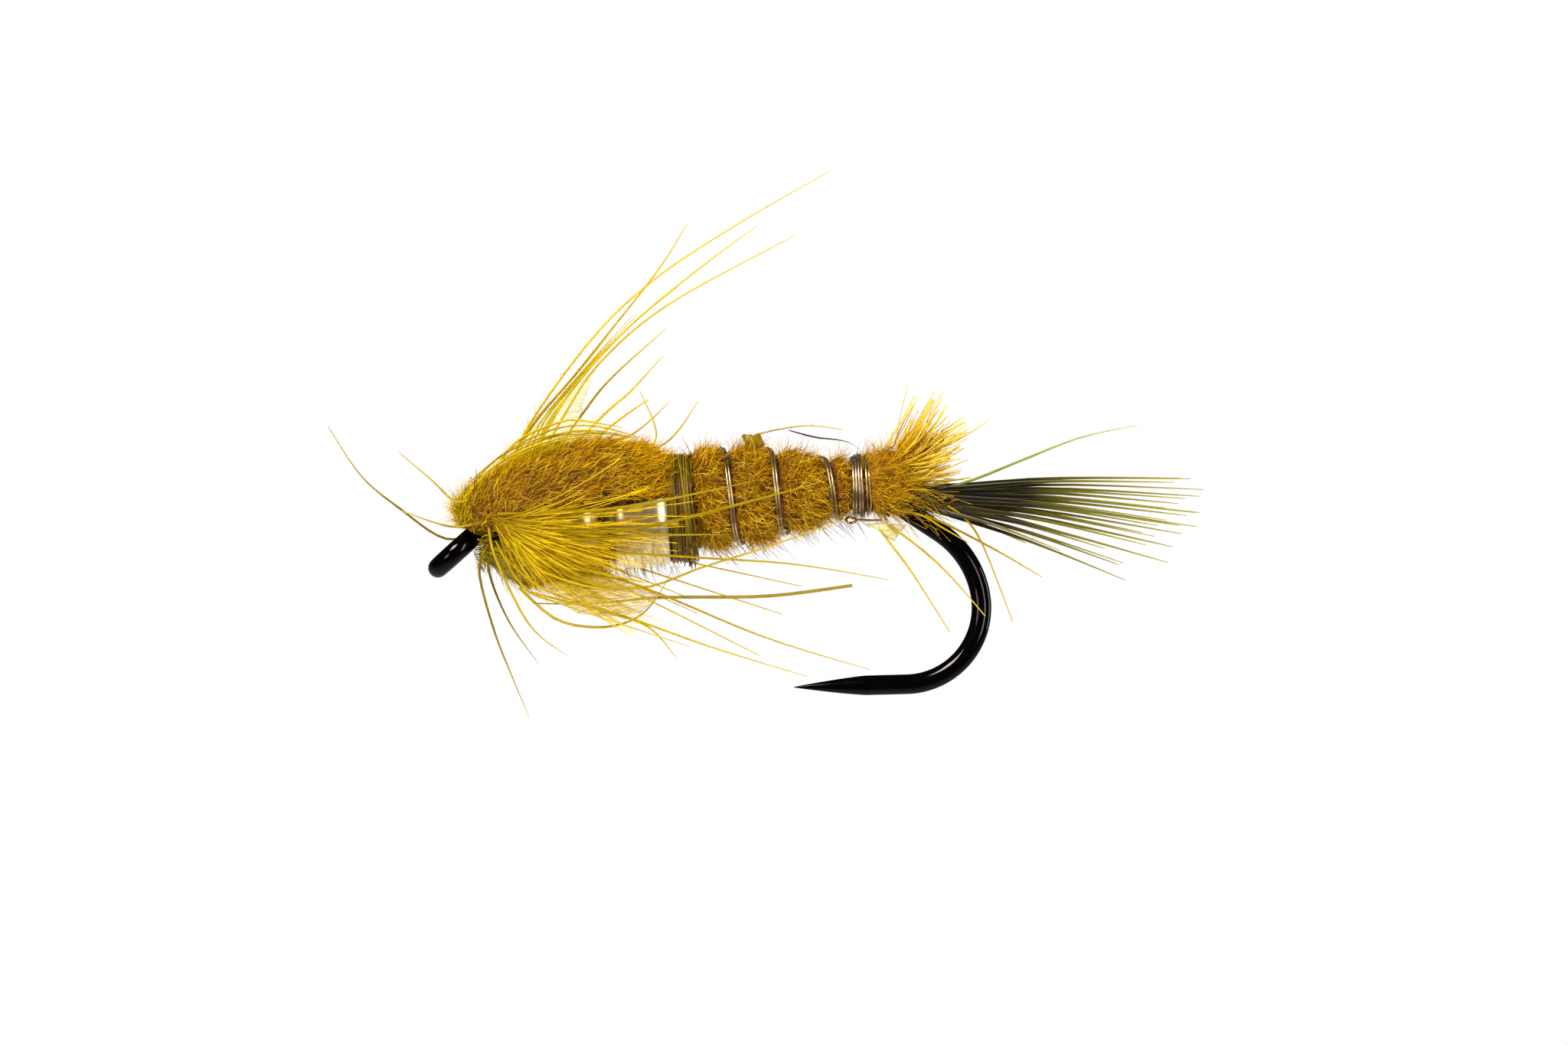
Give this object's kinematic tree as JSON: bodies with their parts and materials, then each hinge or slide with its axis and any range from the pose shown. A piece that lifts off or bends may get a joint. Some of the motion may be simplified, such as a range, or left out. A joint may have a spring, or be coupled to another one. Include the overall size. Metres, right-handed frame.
{
  "type": "fishing fly",
  "caption": "Weighted trout fly: barbless down-eye hook with metal beads under a wool wing case, wire-ribbed dubbed abdomen, feather-barb tail and soft hackle.",
  "frame": {"origin": "centre of the hole through the hook eye", "axes": "+X along the shank from the eye to the tail, +Z away from the hook point, Y across the fly"},
  "size_m": [0.0227, 0.006, 0.0139],
  "materials": {
    "hook_steel": "glossy black nickel plate on hardened wire",
    "thread": "shiny olive tying thread",
    "bead_metal": "polished silver-coloured metal",
    "dark_dubbing": "fuzzy dark dubbing",
    "olive_dubbing": "fuzzy olive dubbing",
    "wool": "felted golden-brown wool",
    "brown_dubbing": "golden-brown dubbing with fine hairs",
    "rib_wire": "bright thin metal wire",
    "tag_yarn": "golden yarn ends",
    "tail_barb": "near-black feather barbs with olive edges",
    "hackle": "translucent yellow-olive feather barbs",
    "quill": "smooth keratin quill",
    "web": "thin pale translucent feather web"
  },
  "bodies": {
    "root": {"hook": "hook_steel", "thread_underbody": "thread", "head_wraps": "thread", "front_bead": "bead_metal", "rear_bead": "bead_metal", "bead_dubbing": "dark_dubbing", "head_dubbing": "olive_dubbing", "throat_dubbing": "olive_dubbing", "wing_case": "wool", "thread_band": "thread", "abdomen": "brown_dubbing", "quill_stub": "quill", "rib_wire_front_strand": "rib_wire", "rib_wire_rear_strand": "rib_wire", "rib_wire_loop": "rib_wire", "rib_wire_end": "rib_wire", "tag_yarn": "tag_yarn", "tag_fibres": "tag_yarn", "tail_butts": "tail_barb", "tail_fibres": "tail_barb", "tail_stray_fibre": "hackle", "hackle_stem": "quill", "near_hackle": "hackle", "far_hackle": "hackle", "throat_fibres": "hackle", "cut_fibre": "quill", "hackle_web": "web", "wing_fibres": "hackle", "head_fibres": "hackle", "back_fibres": "hackle", "bend_fibres": "hackle", "bend_web": "web"}
  },
  "joints": []
}
